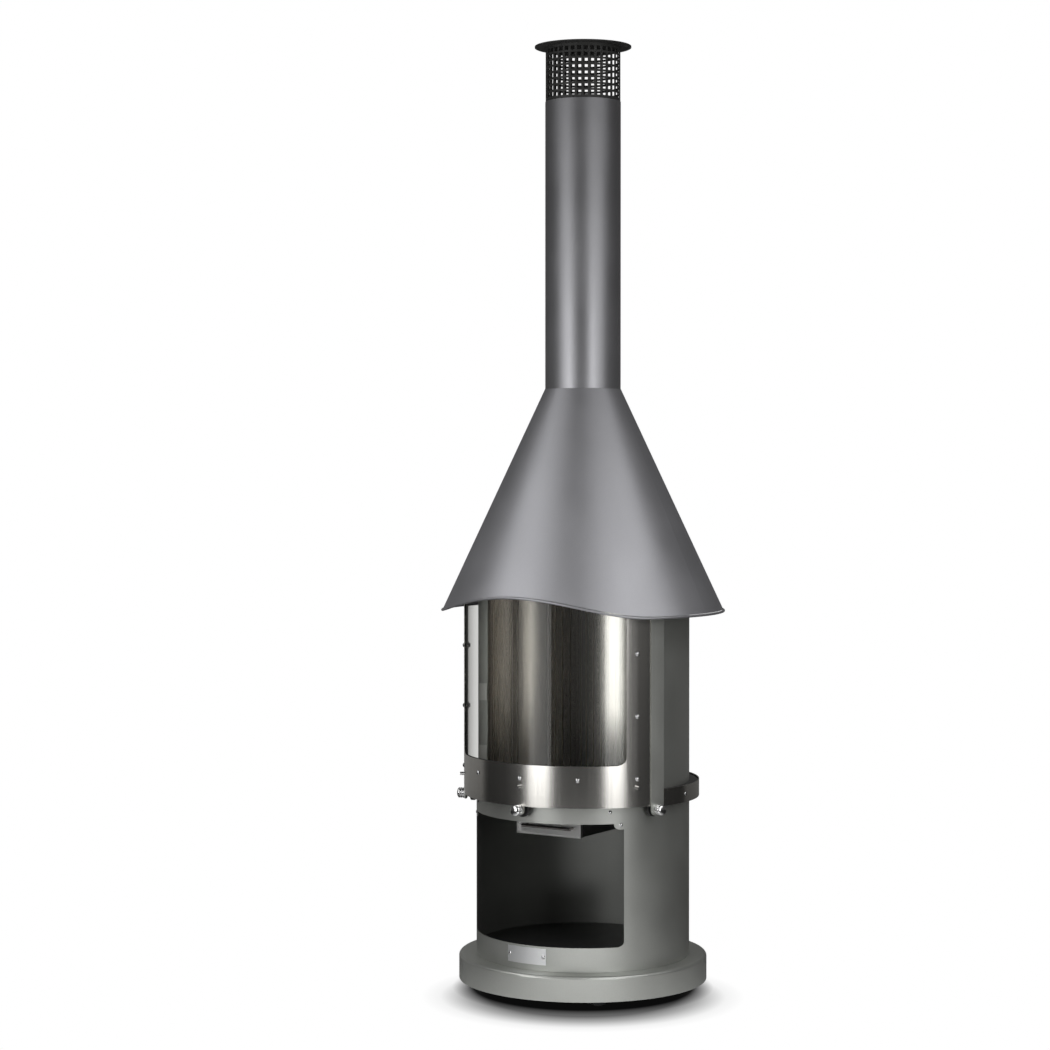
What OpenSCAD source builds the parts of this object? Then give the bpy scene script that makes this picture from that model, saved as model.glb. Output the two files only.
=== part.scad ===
// Outdoor fireplace on castors, with a glazed wind shield that turns round the fire.
// Millimetres. The origin is on the floor under the middle of the plinth.
// +Z is up and the front, where the logs go in, faces -Y.

/* [Plinth] */
// How far the plinth stands out from the log store
plinth_reach = 41.5; // [25:0.5:80]
// Height of the plinth wall
plinth_h = 59; // [40:1:100]
// Gap between the floor and the lower edge of the plinth
plinth_clear = 25; // [10:1:45]
// Sheet thickness of the plinth
plinth_t = 3; // [2:0.5:5]
// Rounding of the upper edge of the plinth
plinth_edge_r = 7; // [4:0.5:12]

/* [Castors] */
// Radius of a castor wheel
wheel_r = 28; // [22:1:32]
// Width of a castor wheel
wheel_w = 20; // [14:1:26]
// Distance of the castor pivots from the edge of the plinth
castor_inset = 83.5; // [65:0.5:110]
// Trail of a castor wheel behind its pivot
castor_trail = 18; // [10:1:26]
// Direction that the castors trail at rest, from the front
castor_rest_turn = -33; // [-180:1:180]

/* [Log store] */
// Outer radius of the painted shells
body_r = 254; // [220:1:290]
// Sheet thickness of the painted shells
shell_t = 3; // [2:0.5:5]
// Height of the log store shell
store_h = 401.7; // [360:0.1:460]
// Height of the sill under the log opening
sill_h = 56.6; // [40:0.1:90]
// Height of the log opening
log_opening_h = 284.3; // [220:0.1:320]
// Half of the angle that the log opening takes up
log_half_angle = 52.9; // [40:0.1:65]
// Height of the raised log floor
log_floor_h = 20; // [12:1:36]

/* [Fire chamber] */
// Height of the painted fire chamber shell
fire_shell_h = 543.7; // [480:0.1:620]
// Angle from the front to the front edge of the chamber shell
fire_edge_angle = 67; // [58:1:80]
// Depth of the inward return on the shell's front edges
return_w = 20; // [14:1:30]
// Height of the fire pan's rim
pan_rim_h = 54; // [30:1:58]
// Radius of the hole in the fire pan that ash falls through
ash_hole_r = 74; // [60:1:76]
// Width of the grate's seat round that hole
grate_seat_w = 26; // [16:1:50]

/* [Hood and flue] */
// How far the hood's lower edge stands out from the painted shells
hood_overhang = 83; // [70:1:120]
// Height of the hood from its lower edge to the flue
hood_h = 530; // [430:1:600]
// How far the hood hangs below the top of the chamber shell
hood_overlap = 131.7; // [100:0.1:150]
// Height of the raised arch in the hood's lower edge
arch_rise = 43.6; // [20:0.1:60]
// Half of the angle that the arch takes up
arch_half = 60; // [45:1:75]
// Outer radius of the flue
flue_r = 90; // [75:1:110]
// Visible length of the flue
flue_h = 682; // [400:1:900]
// Sheet thickness of the hood and the flue
hood_t = 2.5; // [2:0.5:4]
// Height of the perforated spark arrestor
arrestor_h = 128.6; // [90:0.1:180]
// How far the flat cap stands out from the flue
cap_overhang = 25; // [10:1:45]

/* [Wind shield] */
// Distance of the stainless shield's outer face from the painted shells
shield_stand = 29.4; // [27.5:0.1:40]
// Sheet thickness of the shield
shield_t = 2; // [1.5:0.5:3]
// Height of the shield
shield_h = 499.5; // [420:0.5:530]
// Height of the band under the window
band_h = 96.1; // [86:0.1:120]
// Half of the angle that the window takes up
window_half_angle = 51.7; // [40:0.1:53]
// Rounding of the window's corners
window_corner_r = 18; // [10:1:30]
// Thickness of the curved glass
glass_t = 4; // [3:0.5:5]
// Width of the painted posts beside the shield
post_w = 35.8; // [28:0.1:42]
// Height of the ring round the back
ring_h = 39.6; // [32:0.1:50]

/* [Rollers and knobs] */
// Radius of the rollers on top of the rail
top_roller_r = 12; // [9:0.5:14]
// Radius of the rollers under the rail
keeper_roller_r = 17.5; // [14:0.5:20]
// Width of the rollers
roller_w = 11; // [8:0.5:13]
// Height of the roller rail
rail_h = 23.3; // [18:0.1:28]
// Radius of the knobs
knob_r = 12.5; // [10:0.5:16]
// Length of the knobs
knob_l = 19.5; // [14:0.5:30]

/* [Ash drawer] */
// Width of the drawer's front plate
drawer_w = 176; // [140:1:220]
// Height of the drawer's front plate
drawer_h = 41; // [30:1:55]
// Distance of the front plate from the middle
drawer_front = 147; // [120:1:170]
// Length of the drawer's tray
tray_l = 246; // [180:1:280]

/* [View] */
// Which piece to draw, or all of them

/* [Hidden] */
$fn = 96;
// Gap between pieces that are fixed together
seat = 0.3;
// Radial clearance of a turning pin in its bore
run = 0.05;
// How far a cutting shape runs past what it cuts
over = 5;

plinth_top = plinth_clear + plinth_h;
plinth_under = plinth_top - plinth_t;
body_in = body_r - shell_t;
plinth_r = body_r + plinth_reach;
castor_ring_r = plinth_r - castor_inset;
hood_r = body_r + hood_overhang;
cap_r = flue_r + cap_overhang;
shield_r = body_r + shield_stand;

// Castor sizes
castor_plate_w = 64;
castor_plate_t = 3;
castor_bolt_span = 44;
castor_bolt_r = 3;
castor_bolt_head_r = 5;
castor_bolt_head_h = 3;
kingpin_r = 6;
kingpin_head_r = 9;
kingpin_head_h = 3;
fork_head_r = 21;
fork_head_h = 5;
fork_leg_t = 3;
fork_boss_r = 9;
axle_r = 4;
hub_r = 9;
hub_extra = 1;
side_clear = 0.5;
tyre_depth = 9;
web_w = 9;
tyre_round = 4;
castor_plate_z = plinth_under - seat - castor_plate_t;
fork_top_z = castor_plate_z - seat;
fork_under_z = fork_top_z - fork_head_h;
leg_in_x = wheel_w / 2 + hub_extra / 2 + side_clear;
leg_out_x = leg_in_x + fork_leg_t;
leg_top_y = sqrt(fork_head_r * fork_head_r - leg_out_x * leg_out_x);

// Log store sizes
store_z = plinth_top + seat;
store_top = store_z + store_h;
opening_z = plinth_top + sill_h;
opening_top = opening_z + log_opening_h;
opening_half_w = body_r * sin(log_half_angle);
opening_corner_r = 12;
log_floor_t = 2;
ear_r = 11;
ear_screw_x = opening_half_w - 0.4 * ear_r;
ear_screw_z = opening_top - 0.25 * ear_r;
ear_angle = asin(ear_screw_x / body_r);
plate_half_angle = 11.65;
plate_h = 38;
plate_t = 1.5;
plate_z = opening_z - plate_h - 0.12 * plate_h;
rivet_r = 2.5;
rivet_head_h = 1.5;
rivet_angle = plate_half_angle - 1.4;
screw_r = 2.5;
screw_head_r = 4.5;
screw_head_h = 2.2;

// Fire pan, grate and liner sizes
pan_t = 3;
pan_gap = 2.8;
pan_z = opening_top + pan_gap;
pan_top = pan_z + pan_t;
pan_screw_angle = 45.3;
pan_screw_z = pan_top + pan_rim_h * 0.4;
grate_r = ash_hole_r + grate_seat_w;
grate_t = 10;
grate_slots = 7;
grate_slot_share = 0.5;
fire_z = store_top + seat;
fire_top = fire_z + fire_shell_h;
return_t = 3;
return_r = body_in - return_w;
return_turn = asin(return_t / return_r);
liner_t = 2;
liner_r = return_r + liner_t;
liner_z = pan_top + seat;
liner_drop = 10;
liner_edge_angle = fire_edge_angle + asin((return_t + seat) / return_r);
hook_h = 40.6;
hook_w = 18.8;
hook_t = 2;
hook_stand = 6;
hook_foot_h = 8;
hook_rises = [67.2, 215.6];

// Roller rail sizes
rail_reach = 18.5;
rail_t = 2.5;
rail_in = body_r + seat;
rail_out = body_r + rail_reach;
rail_z = store_top - rail_h / 2;
rail_top = rail_z + rail_h;

// Hood and flue sizes
hood_z = fire_top - hood_overlap;
hood_top = hood_z + hood_h;
hood_tip_r = flue_r + seat;
hood_slope = (hood_r - hood_tip_r) / hood_h;
hood_wall = hood_t * sqrt(1 + hood_slope * hood_slope);
rim_h = 6;
rim_w = 6;
arch_steps = 48;
bracket_t = 3;
bracket_h = 36;
bracket_drop = 4;
bracket_count = 5;
bracket_first = fire_edge_angle + 8;
bracket_step = (360 - 2 * bracket_first) / (bracket_count - 1);
bracket_z = fire_top - bracket_drop - bracket_h;
flue_z = hood_top + seat;
flue_top = flue_z + flue_h;
spigot_t = 2.5;
spigot_h = 80;
spigot_r = flue_r - hood_t - seat;
arrestor_t = 2;
arrestor_inset = 1;
arrestor_r = flue_r - arrestor_inset;
arrestor_skirt = 30;
arrestor_z = flue_top + seat;
arrestor_top = arrestor_z + arrestor_h;
hole_w = 10;
holes_round = 36;
hole_rows = 8;
hole_edge = 4.5;
cap_t = 3;
cap_z = arrestor_top + seat;

// Wind shield sizes
shield_in = shield_r - shield_t;
post_angle = 68;
shield_drop = 20.6;
shield_z = rail_z + rail_h / 2 - shield_drop;
shield_top = shield_z + shield_h;
window_z = shield_z + band_h;
window_top_border = 20;
window_half_w = shield_r * sin(window_half_angle);
gasket_t = 1.5;
gasket_w = 9;
gasket_lip = 1;
glass_r = shield_in - seat - gasket_t - seat;
glass_in = glass_r - glass_t;
glass_lap_angle = 3.8;
glass_half_angle = window_half_angle + glass_lap_angle;
glass_lap_low = 25;
glass_lap_top = 7;
glass_z = window_z - glass_lap_low;
glass_top = shield_top - glass_lap_top;
post_t = 3;
post_r = shield_r + seat + post_t;
post_round = 14;
ring_t = 2;
ring_inset = 3.9;
ring_drop = 4;
ring_r = shield_in - ring_inset;
ring_z = shield_z - ring_drop;
ring_overlap = 2.5;
ring_end_angle = post_angle - ring_overlap;
packer_angle = 2.2;
ring_screw_angle = 90.8;
bolt_r = 3;
bolt_head_r = 5.5;
bolt_head_h = 3.5;
nut_r = 5;
nut_h = 4;
bolt_angle = 28.6;
bolt_drop = 31.7;
bolt_z = window_z - bolt_drop;
bolt_rises = [0, 143.6, 287.1];
clip_t = 2;
clip_w = 16;
clip_l = 20;

// Roller, pin and knob sizes
pin_r = 4;
pin_head_r = 6;
pin_head_h = 3;
pin_proud = 10;
collar_r = 7;
keeper_collar_r = 4.6;
roller_round = 1.5;
roller_out = rail_out;
roller_in = roller_out - roller_w;
top_pin_z = rail_top + seat + top_roller_r;
keeper_z = rail_z - seat - keeper_roller_r;
top_angles = [0, 2 * bolt_angle, -2 * bolt_angle];
keeper_angles = [0, post_angle, -post_angle];
tab_r = 13;
tongue_z = keeper_z - tab_r;
knob_round = 2.5;
knob_end = post_r + seat + knob_l;

// Ash drawer sizes
drawer_t = 2;
drawer_drop = 3.2;
drawer_top = opening_top - drawer_drop;
drawer_z = drawer_top - drawer_h;
tray_wall = 1.5;
tray_lip = 8;
tray_side = 4;
tray_w = drawer_w - 2 * tray_side;
tray_short = 3;
tray_lift = 1;
tray_h = drawer_h - tray_short;
tray_z = drawer_z + tray_lift;
tray_lip_z = tray_z + tray_h - tray_wall;
tray_back = tray_l - drawer_front;
runner_t = 2;
runner_foot = 12;
runner_clear = 1;
frame_lip = 9;
frame_end_w = 17;
handle_r = 4;
handle_stand = 17;
handle_inset = 26;
handle_z = drawer_z + 0.52 * drawer_h;
drawer_bolt_x = 30;

// A straight tube standing on a height.
module tube(r_out, wall, z, h) {
  translate([0, 0, z])
    difference() {
      cylinder(r = r_out, h = h);
      translate([0, 0, -over]) cylinder(r = r_out - wall, h = h + 2 * over);
    }
}

// A curved wall between two angles, counted from the front.
module arc_wall(r_out, wall, z, h, first, last) {
  translate([0, 0, z])
    rotate([0, 0, first - 90])
      rotate_extrude(angle = last - first)
        translate([r_out - wall, 0]) square([wall, h]);
}

// A round bar that points outwards at an angle from the front.
module radial_rod(r, from_r, to_r, z, turn) {
  rotate([0, 0, turn])
    translate([0, -from_r, z])
      rotate([90, 0, 0]) cylinder(r = r, h = to_r - from_r);
}

// The domed head of a screw, flat on its seat and domed outwards.
module domed_head(r, h, seat_r, z, turn) {
  dome_r = (r * r + h * h) / (2 * h);
  rotate([0, 0, turn])
    translate([0, -seat_r, z])
      rotate([90, 0, 0])
        intersection() {
          cylinder(r = r, h = h);
          translate([0, 0, h - dome_r]) sphere(r = dome_r);
        }
}

// A rectangle with rounded corners, centred across and standing on zero.
module rounded_plate(w, h, r) {
  union() {
    translate([-w / 2 + r, 0]) square([w - 2 * r, h]);
    translate([-w / 2, r]) square([w, h - 2 * r]);
    for (x = [-w / 2 + r, w / 2 - r])
      for (y = [r, h - r])
        translate([x, y]) circle(r = r);
  }
}

// A flat outline in the front view, drawn outwards from one radius to another.
module front_prism(from_r, to_r, z) {
  translate([0, -from_r, z])
    rotate([90, 0, 0]) linear_extrude(height = to_r - from_r) children();
}

// Plinth: an upside-down pan of painted sheet with a rounded upper edge.
module plinth_outline(r, h, edge) {
  union() {
    square([r - edge, h]);
    square([r, h - edge]);
    translate([r - edge, h - edge]) circle(r = edge);
  }
}

module plinth() {
  color([0.55, 0.56, 0.54])
    difference() {
      translate([0, 0, plinth_clear])
        rotate_extrude()
          difference() {
            plinth_outline(plinth_r, plinth_h, plinth_edge_r);
            translate([0, -over])
              plinth_outline(plinth_r - plinth_t, plinth_h - plinth_t + over,
                             plinth_edge_r - plinth_t);
          }
      for_castor_bolts()
        translate([0, 0, plinth_under - over])
          cylinder(r = castor_bolt_r + run * 2, h = plinth_t + 2 * over);
    }
}

// The four castor pivots, each turned the way that the castor trails.
module for_castor(number) {
  turn = 45 + 90 * (number - 1);
  translate([castor_ring_r * sin(turn), -castor_ring_r * cos(turn), 0])
    rotate([0, 0, castor_rest_turn]) children();
}

module for_castor_bolts() {
  for (number = [1 : 4])
    for_castor(number)
      for (x = [-castor_bolt_span / 2, castor_bolt_span / 2])
        for (y = [-castor_bolt_span / 2, castor_bolt_span / 2])
          translate([x, y, 0]) children();
}

module castor_plates() {
  color([0.62, 0.63, 0.65])
    difference() {
      for (number = [1 : 4])
        for_castor(number)
          union() {
            translate([-castor_plate_w / 2, -castor_plate_w / 2, castor_plate_z])
              cube([castor_plate_w, castor_plate_w, castor_plate_t]);
            translate([0, 0, fork_under_z - seat])
              cylinder(r = kingpin_r, h = castor_plate_z - fork_under_z + seat + castor_plate_t / 2);
            translate([0, 0, fork_under_z - seat - kingpin_head_h])
              cylinder(r = kingpin_head_r, h = kingpin_head_h);
          }
      for_castor_bolts()
        translate([0, 0, castor_plate_z - over])
          cylinder(r = castor_bolt_r + run * 2, h = castor_plate_t + over + seat / 2);
    }
}

module castor_bolts() {
  color([0.66, 0.67, 0.69])
    for_castor_bolts()
      union() {
        translate([0, 0, castor_plate_z - seat])
          cylinder(r = castor_bolt_r, h = plinth_top - castor_plate_z);
        translate([0, 0, castor_plate_z - seat - castor_bolt_head_h])
          cylinder(r = castor_bolt_head_r, h = castor_bolt_head_h, $fn = 6);
      }
}

module castor_fork(number) {
  color([0.62, 0.63, 0.65])
    for_castor(number)
      union() {
        difference() {
          translate([0, 0, fork_under_z]) cylinder(r = fork_head_r, h = fork_head_h);
          translate([0, 0, fork_under_z - over])
            cylinder(r = kingpin_r + run, h = fork_head_h + 2 * over);
        }
        for (x = [leg_in_x, -leg_out_x])
          translate([x, 0, 0]) fork_leg();
        translate([-leg_out_x - hub_extra, -castor_trail, wheel_r])
          rotate([0, 90, 0]) cylinder(r = axle_r, h = 2 * (leg_out_x + hub_extra));
      }
}

// One leg of a fork, from the head down to the axle.
module fork_leg() {
  rotate([90, 0, 90])
    linear_extrude(height = fork_leg_t)
      union() {
        polygon([
          [leg_top_y * 0.7, fork_top_z],
          [-leg_top_y, fork_top_z],
          [-castor_trail - fork_boss_r, wheel_r],
          [-castor_trail + fork_boss_r, wheel_r]
        ]);
        translate([-castor_trail, wheel_r]) circle(r = fork_boss_r);
      }
}

module castor_fork_1() { castor_fork(1); }
module castor_fork_2() { castor_fork(2); }
module castor_fork_3() { castor_fork(3); }
module castor_fork_4() { castor_fork(4); }

module castor_wheel(number) {
  color([0.12, 0.12, 0.13])
    for_castor(number)
      translate([0, -castor_trail, wheel_r])
        rotate([0, 90, 0])
          rotate_extrude()
            difference() {
              union() {
                translate([wheel_r - tyre_depth, -wheel_w / 2])
                  square([tyre_depth - tyre_round, wheel_w]);
                translate([wheel_r - tyre_round, -wheel_w / 2 + tyre_round])
                  square([tyre_round, wheel_w - 2 * tyre_round]);
                for (y = [-wheel_w / 2 + tyre_round, wheel_w / 2 - tyre_round])
                  translate([wheel_r - tyre_round, y]) circle(r = tyre_round);
                translate([0, -web_w / 2]) square([wheel_r - tyre_depth + tyre_round / 2, web_w]);
                translate([0, -(wheel_w + hub_extra) / 2]) square([hub_r, wheel_w + hub_extra]);
              }
              translate([-over, -wheel_w]) square([over + axle_r + run, 2 * wheel_w]);
            }
}

module castor_wheel_1() { castor_wheel(1); }
module castor_wheel_2() { castor_wheel(2); }
module castor_wheel_3() { castor_wheel(3); }
module castor_wheel_4() { castor_wheel(4); }

// Log store: a rolled sheet cylinder with one wide opening, eared at its upper corners.
module log_opening_outline() {
  difference() {
    rounded_plate(2 * opening_half_w, log_opening_h, opening_corner_r);
    for (x = [-ear_screw_x, ear_screw_x])
      translate([x, ear_screw_z - opening_z]) circle(r = ear_r);
  }
}

module store_shell() {
  color([0.55, 0.56, 0.54])
    difference() {
      tube(body_r, shell_t, store_z, store_h);
      front_prism(0, body_r + over, opening_z) log_opening_outline();
      for (turn = [-ear_angle, ear_angle])
        radial_rod(screw_r + run * 2, body_in - over, body_r + over, ear_screw_z, turn);
      for (turn = [-pan_screw_angle, pan_screw_angle])
        radial_rod(screw_r + run * 2, body_in - over, body_r + over, pan_screw_z, turn);
      for (turn = [-rivet_angle, rivet_angle])
        radial_rod(rivet_r + run * 2, body_in - over, body_r + over, plate_z + plate_h / 2, turn);
    }
}

// Log floor: a raised pan that the logs lie on.
module log_floor() {
  floor_r = body_in - seat;
  color([0.3, 0.31, 0.3])
    union() {
      tube(floor_r, log_floor_t, store_z, log_floor_h - log_floor_t / 2);
      translate([0, 0, store_z + log_floor_h - log_floor_t])
        cylinder(r = floor_r, h = log_floor_t);
    }
}

// Name plate, left blank, with its two rivets.
module name_plate() {
  color([0.75, 0.75, 0.76])
    difference() {
      arc_wall(body_r + seat + plate_t, plate_t, plate_z, plate_h,
               -plate_half_angle, plate_half_angle);
      for (turn = [-rivet_angle, rivet_angle])
        radial_rod(rivet_r + run * 2, body_in - over, body_r + over, plate_z + plate_h / 2, turn);
    }
}

module plate_rivets() {
  rivet_seat = body_r + plate_t + 2 * seat;
  color([0.78, 0.78, 0.79])
    for (turn = [-rivet_angle, rivet_angle])
      union() {
        radial_rod(rivet_r, body_in - rivet_head_h, rivet_seat + rivet_head_h / 3,
                   plate_z + plate_h / 2, turn);
        domed_head(rivet_r * 1.8, rivet_head_h, rivet_seat, plate_z + plate_h / 2, turn);
      }
}

// Shell screws: two through the ears and two that hold the fire pan.
module shell_screw(z, turn, tail_r) {
  union() {
    radial_rod(screw_r, tail_r, body_r + seat + screw_head_h / 3, z, turn);
    domed_head(screw_head_r, screw_head_h, body_r + seat, z, turn);
  }
}

module shell_screws() {
  color([0.7, 0.71, 0.72])
    for (side = [-1, 1]) {
      shell_screw(ear_screw_z, side * ear_angle, body_in - shell_t);
      shell_screw(pan_screw_z, side * pan_screw_angle, body_in - 2 * pan_t);
    }
}

// Fire pan: the floor and rim of the fire chamber, with the hole that ash falls through.
module fire_pan() {
  pan_r = body_in - seat;
  color([0.25, 0.25, 0.25])
    difference() {
      union() {
        translate([0, 0, pan_z]) cylinder(r = pan_r, h = pan_t);
        tube(pan_r, pan_t, pan_z + pan_t / 2, pan_rim_h);
      }
      translate([0, 0, pan_z - over]) cylinder(r = ash_hole_r, h = pan_t + 2 * over);
      for (turn = [-pan_screw_angle, pan_screw_angle])
        radial_rod(screw_r + run * 2, pan_r - pan_t - over, body_r, pan_screw_z, turn);
    }
}

// Fire grate: a round cast plate with slots, lying over the ash hole.
module fire_grate() {
  pitch = 2 * ash_hole_r / grate_slots;
  slot_w = pitch * grate_slot_share;
  color([0.2, 0.2, 0.2])
    difference() {
      translate([0, 0, pan_top + seat]) cylinder(r = grate_r, h = grate_t);
      for (number = [0 : grate_slots - 1]) {
        y = -ash_hole_r + pitch * (number + 0.5);
        half = sqrt(ash_hole_r * ash_hole_r - y * y) - slot_w / 2;
        translate([-half, y - slot_w / 2, pan_top - over])
          cube([2 * half, slot_w, grate_t + 2 * over]);
      }
    }
}

// Drawer runners: two bent rails under the pan that carry the tray by its lips.
module drawer_runner_outline() {
  ledge_z = tray_lip_z - seat - runner_t;
  web_x = tray_w / 2 + tray_lip + runner_clear;
  union() {
    translate([tray_w / 2 + runner_clear / 2, ledge_z])
      square([web_x + runner_t - tray_w / 2 - runner_clear / 2, runner_t]);
    translate([web_x, ledge_z]) square([runner_t, pan_z - seat - ledge_z]);
    translate([web_x, pan_z - seat - runner_t]) square([runner_foot, runner_t]);
  }
}

module drawer_runners() {
  color([0.4, 0.41, 0.41])
    for (side = [0, 1])
      mirror([side, 0, 0])
        translate([0, tray_back, 0])
          rotate([90, 0, 0])
            linear_extrude(height = tray_back + drawer_front - runner_clear)
              drawer_runner_outline();
}

// Fire chamber shell: a rolled wall round the back, with inward returns on its front edges.
module fire_shell() {
  color([0.55, 0.56, 0.54])
    difference() {
      arc_wall(body_r, shell_t + return_w, fire_z, fire_shell_h,
               fire_edge_angle, 360 - fire_edge_angle);
      arc_wall(body_in, return_w + over, fire_z - over, fire_shell_h + 2 * over,
               fire_edge_angle + return_turn, 360 - fire_edge_angle - return_turn);
    }
}

// Fire liner: a bright stainless wall inside the chamber shell.
module fire_liner() {
  color([0.72, 0.72, 0.73])
    arc_wall(liner_r, liner_t, liner_z, fire_top - liner_drop - liner_z,
             liner_edge_angle, 360 - liner_edge_angle);
}

// Grill hooks: bent tabs on the front of the returns, which hold a grill rack.
module grill_hooks() {
  middle_r = body_in - return_w / 2;
  color([0.7, 0.7, 0.71])
    for (side = [0, 1])
      for (rise = hook_rises)
        mirror([side, 0, 0])
          rotate([0, 0, fire_edge_angle])
            translate([-seat - hook_stand, -middle_r - hook_w / 2, fire_z + rise - hook_h / 2])
              union() {
                translate([-hook_t, 0, 0]) cube([hook_t, hook_w, hook_h]);
                translate([-hook_t / 2, 0, 0]) cube([hook_stand + hook_t / 2, hook_w, hook_foot_h]);
              }
}

// Roller rail: a channel rolled round the body, open outwards.
module roller_rail() {
  color([0.6, 0.6, 0.61])
    translate([0, 0, rail_z])
      rotate_extrude()
        difference() {
          translate([rail_in, 0]) square([rail_out - rail_in, rail_h]);
          translate([rail_in + rail_t, rail_t])
            square([rail_out - rail_in, rail_h - 2 * rail_t]);
        }
}

// Hood: a cone of painted sheet whose lower edge lifts in an arch at the front.
function hood_radius(z) = hood_r - hood_slope * (z - hood_z);
function arch_lift(turn) = arch_rise * (1 + cos(180 * turn / arch_half)) / 2;
function arch_line(lift) = [
  for (step = [0 : arch_steps])
    let (turn = -arch_half + 2 * arch_half * step / arch_steps)
      [hood_r * sin(turn), lift + arch_lift(turn)]
];

// What lies under the arch line, as an outline in the front view.
module under_arch(lift) {
  side_x = hood_r + 2 * over;
  polygon(concat(
    [[-side_x, -over], [-side_x, lift]],
    arch_line(lift),
    [[side_x, lift], [side_x, -over]]
  ));
}

// What lies over the arch line, as an outline in the front view.
module over_arch(lift) {
  side_x = hood_r + 2 * over;
  top = 2 * arch_rise + lift;
  polygon(concat(
    [[-side_x, top], [-side_x, lift]],
    arch_line(lift),
    [[side_x, lift], [side_x, top]]
  ));
}

module hood() {
  start = rim_h + seat;
  color([0.56, 0.56, 0.58])
    difference() {
      rotate_extrude()
        polygon([
          [hood_radius(hood_z + start), hood_z + start],
          [hood_tip_r, hood_top],
          [hood_tip_r - hood_wall, hood_top],
          [hood_radius(hood_z + start) - hood_wall, hood_z + start]
        ]);
      front_prism(0, hood_r + over, hood_z) under_arch(start);
    }
}

// Hood rim: the rolled bead along the hood's lower edge.
module hood_rim() {
  top = hood_z + 2 * arch_rise;
  outer = (rim_w - hood_wall) / 2;
  color([0.56, 0.56, 0.58])
    difference() {
      rotate_extrude()
        polygon([
          [hood_r + outer, hood_z],
          [hood_radius(top) + outer, top],
          [hood_radius(top) + outer - rim_w, top],
          [hood_r + outer - rim_w, hood_z]
        ]);
      front_prism(0, hood_r + over, hood_z) under_arch(0);
      front_prism(0, hood_r + over, hood_z) over_arch(rim_h);
      translate([-hood_r - over, 0, hood_z + rim_h])
        cube([2 * (hood_r + over), hood_r + over, 2 * arch_rise]);
    }
}

// Hood brackets: upright plates on top of the chamber shell that carry the hood.
module hood_brackets() {
  color([0.5, 0.5, 0.5])
    for (number = [0 : bracket_count - 1])
      rotate([0, 0, bracket_first + bracket_step * number])
        translate([-bracket_t / 2, 0, 0])
          rotate([90, 0, 90])
            linear_extrude(height = bracket_t)
              polygon([
                [-body_r - seat, bracket_z],
                [-body_r - seat, bracket_z + bracket_h],
                [-hood_radius(bracket_z + bracket_h) + hood_wall + seat, bracket_z + bracket_h],
                [-hood_radius(bracket_z) + hood_wall + seat, bracket_z]
              ]);
}

// Flue: a spigot in the hood's neck, the pipe, the perforated arrestor and the cap.
module flue_spigot() {
  color([0.5, 0.5, 0.5])
    tube(spigot_r, spigot_t, hood_top - spigot_h / 2, spigot_h);
}

module flue_pipe() {
  color([0.56, 0.56, 0.58])
    tube(flue_r, hood_t, flue_z, flue_h);
}

module spark_arrestor() {
  row_pitch = (arrestor_h - 2 * hole_edge) / hole_rows;
  color([0.3, 0.3, 0.3])
    difference() {
      rotate_extrude()
        polygon([
          [arrestor_r, arrestor_z],
          [arrestor_r, arrestor_top],
          [arrestor_r - arrestor_t, arrestor_top],
          [arrestor_r - arrestor_t, arrestor_z + arrestor_t],
          [spigot_r - arrestor_t, arrestor_z + arrestor_t],
          [spigot_r - arrestor_t, arrestor_z - arrestor_skirt],
          [spigot_r, arrestor_z - arrestor_skirt],
          [spigot_r, arrestor_z]
        ]);
      for (row = [0 : hole_rows - 1])
        for (number = [0 : holes_round - 1])
          rotate([0, 0, (number + 0.5) * 360 / holes_round])
            translate([0, -arrestor_r, arrestor_z + hole_edge + row_pitch * (row + 0.5)])
              cube([hole_w, 3 * arrestor_t, hole_w], center = true);
    }
}

module cap_disc() {
  color([0.3, 0.3, 0.3])
    translate([0, 0, cap_z]) cylinder(r = cap_r, h = cap_t);
}

// Shield frame: one curved stainless sheet, with the window, the band under it
// and a tongue at the front for the middle knob.
module shield_frame() {
  color([0.74, 0.74, 0.75])
    difference() {
      arc_wall(shield_r, shield_t, tongue_z - over, shield_top - tongue_z + over,
               -post_angle, post_angle);
      difference() {
        translate([-shield_r - over, -shield_r - over, tongue_z - 2 * over])
          cube([2 * (shield_r + over), shield_r + over, shield_z - tongue_z + 2 * over]);
        front_prism(0, shield_r + 2 * over, tongue_z)
          rounded_plate(2 * tab_r, shield_z - tongue_z + 2 * tab_r, tab_r - seat);
      }
      front_prism(0, shield_r + over, window_z)
        rounded_plate(2 * window_half_w, shield_top - window_top_border - window_z,
                      window_corner_r);
      for_shield_bolts()
        radial_rod(bolt_r + run * 2, shield_in - over, shield_r + over, 0, 0);
      for (turn = top_angles)
        radial_rod(pin_r + run * 2, shield_in - over, shield_r + over, top_pin_z, turn);
      radial_rod(pin_r + run * 2, shield_in - over, shield_r + over, keeper_z, 0);
    }
}

// The bolts along the window: three up each side and three along the band.
module for_shield_bolts() {
  for (side = [-2, 2])
    for (rise = bolt_rises)
      rotate([0, 0, side * bolt_angle]) translate([0, 0, bolt_z + rise]) children();
  for (place = [-1, 0, 1])
    rotate([0, 0, place * bolt_angle]) translate([0, 0, bolt_z]) children();
}

module shield_glass() {
  color([0.8, 0.85, 0.85, 0.35])
    arc_wall(glass_r, glass_t, glass_z, glass_top - glass_z, -glass_half_angle, glass_half_angle);
}

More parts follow.
